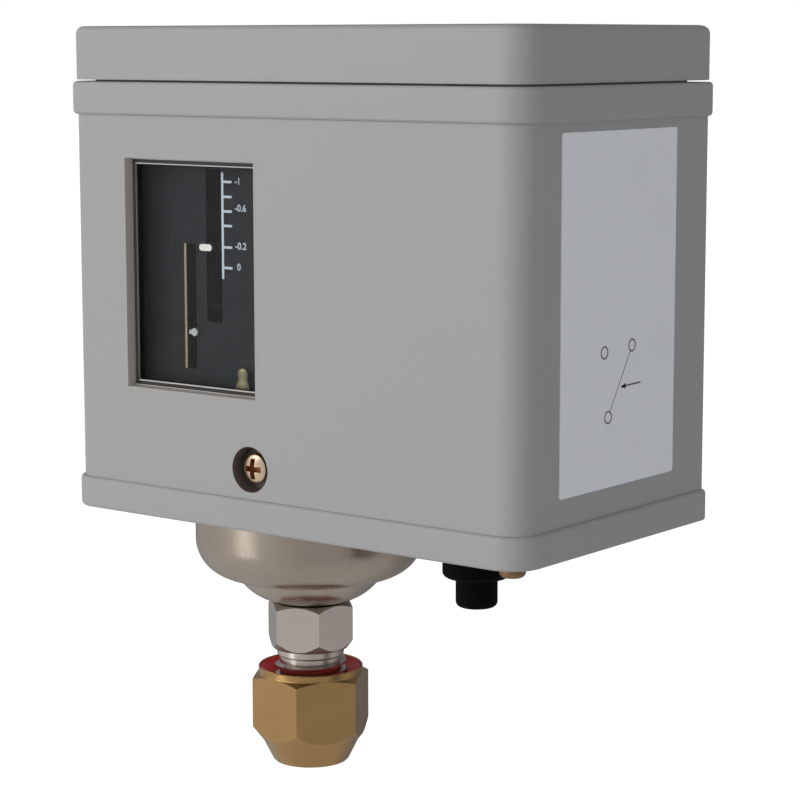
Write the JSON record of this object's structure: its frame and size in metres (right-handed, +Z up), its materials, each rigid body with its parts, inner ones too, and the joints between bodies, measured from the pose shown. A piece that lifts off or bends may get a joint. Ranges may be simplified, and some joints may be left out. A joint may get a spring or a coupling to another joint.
{
  "type": "pressure switch",
  "caption": "Wall-mounted pressure switch with a windowed box, lift-off cap, setting spindles, bellows element, flare connection with nut, and cable gland.",
  "frame": {"origin": "centre of the rectangle of four mounting holes, on the back face of the chassis", "axes": "+X to the right seen from the front, +Y out of the back into the wall, +Z up"},
  "size_m": [0.0844, 0.0477, 0.1133],
  "materials": {
    "grey_cover": "fine textured light grey",
    "clear": "clear moulded pane",
    "brass": "turned brass",
    "bronze": "bronze",
    "nickel": "bright nickel plate",
    "zinc_steel": "zinc plated steel",
    "bright_steel": "bright steel",
    "spring_steel": "oiled spring steel",
    "black_rubber": "black rubber",
    "dark_dial": "dark grey dial",
    "pale_pointer": "pale plastic",
    "red_plastic": "red plastic",
    "phenolic": "dark brown moulding",
    "fibre": "brown insulating fibre"
  },
  "bodies": {
    "housing": {"chassis": "zinc_steel", "front_cover": "grey_cover", "window_pane": "clear", "cover_screw": "brass", "cable_gland": "black_rubber", "earth_screw": "bronze", "earth_washer": "bronze", "spindle_bracket": "zinc_steel", "bracket_screws": "bright_steel", "scale_plate": "dark_dial", "pointer_guide": "brass", "lever_pin": "bright_steel", "bellows_cup": "nickel", "element_plate": "nickel", "bellows": "bronze", "lock_ring": "nickel", "connector": "nickel", "contact_block": "phenolic", "block_screws": "bright_steel", "common_terminal": "brass", "upper_terminal": "brass", "lower_terminal": "brass", "terminal_screws": "bright_steel", "arm_pin": "bright_steel"},
    "cap": {"top_cap": "grey_cover"},
    "range_adjuster": {"range_spindle": "bright_steel"},
    "range_carriage": {"range_nut": "brass", "range_pointer": "pale_pointer"},
    "diff_adjuster": {"diff_spindle": "bright_steel"},
    "diff_carriage": {"diff_nut": "brass", "diff_pointer": "pale_pointer"},
    "main_lever": {"main_lever": "zinc_steel", "range_spring": "spring_steel"},
    "diff_lever": {"diff_lever": "zinc_steel", "diff_spring": "spring_steel"},
    "thrust_rod": {"thrust_rod": "bright_steel"},
    "contact_arm": {"contact_arm": "bronze"},
    "push_pin": {"push_pin": "fibre"},
    "seal_ring": {"seal_ring": "red_plastic"},
    "flare_nut": {"flare_nut": "brass"}
  },
  "joints": [
    {"name": "cap_lift", "type": "slide", "parent": "housing", "child": "cap", "axis": [0, 0, 1], "range_m": [0, 0.03]},
    {"name": "range_travel", "type": "slide", "parent": "housing", "child": "range_carriage", "axis": [0, 0, 1], "range_m": [-0.003, 0.009], "deforming": ["range_spring"]},
    {"name": "range_setting", "type": "hinge", "parent": "housing", "child": "range_adjuster", "pos_m": [-0.0143, -0.0235, 0.018], "axis": [0, 0, 1], "range_deg": [-3240.1, 1080.1]},
    {"name": "diff_travel", "type": "slide", "parent": "housing", "child": "diff_carriage", "axis": [0, 0, 1], "range_m": [-0.0028, 0.0096], "deforming": ["diff_spring"]},
    {"name": "diff_setting", "type": "hinge", "parent": "housing", "child": "diff_adjuster", "pos_m": [-0.0285, -0.0235, 0.018], "axis": [0, 0, 1], "range_deg": [-4320.1, 1260.1]},
    {"name": "lever_tilt", "type": "hinge", "parent": "housing", "child": "main_lever", "pos_m": [-0.035, -0.0235, -0.02], "axis": [0, -1, 0], "range_deg": [0, 2.8]},
    {"name": "diff_lever_tilt", "type": "hinge", "parent": "housing", "child": "diff_lever", "pos_m": [-0.035, -0.0235, -0.02], "axis": [0, -1, 0], "range_deg": [0, 2.81]},
    {"name": "rod_lift", "type": "slide", "parent": "housing", "child": "thrust_rod", "axis": [0, 0, 1], "range_m": [0, 0.00102], "deforming": ["bellows"]},
    {"name": "pin_lift", "type": "slide", "parent": "housing", "child": "push_pin", "axis": [0, 0, 1], "range_m": [0, 0.00191]},
    {"name": "arm_tilt", "type": "hinge", "parent": "housing", "child": "contact_arm", "pos_m": [0.015, -0.0107, -0.002], "axis": [0, 1, 0], "range_deg": [0, 9.94]},
    {"name": "seal_travel", "type": "slide", "parent": "housing", "child": "seal_ring", "axis": [0, 0, 1], "range_m": [-0.01143, 0]},
    {"name": "nut_turn", "type": "hinge", "parent": "seal_ring", "child": "flare_nut", "pos_m": [-0.0143, -0.0235, -0.066], "axis": [0, 0, 1], "range_deg": [-3240.1, 0]}
  ],
  "couplings": [
    {"joint": "range_setting", "follows": "range_travel", "rad_per_m": -6283.2},
    {"joint": "diff_setting", "follows": "diff_travel", "rad_per_m": -7854},
    {"joint": "diff_lever_tilt", "follows": "lever_tilt", "ratio": 1},
    {"joint": "rod_lift", "follows": "lever_tilt", "m_per_rad": 0.0207},
    {"joint": "pin_lift", "follows": "lever_tilt", "m_per_rad": 0.039},
    {"joint": "arm_tilt", "follows": "lever_tilt", "ratio": 3.5455},
    {"joint": "nut_turn", "follows": "seal_travel", "rad_per_m": 4947.4}
  ]
}
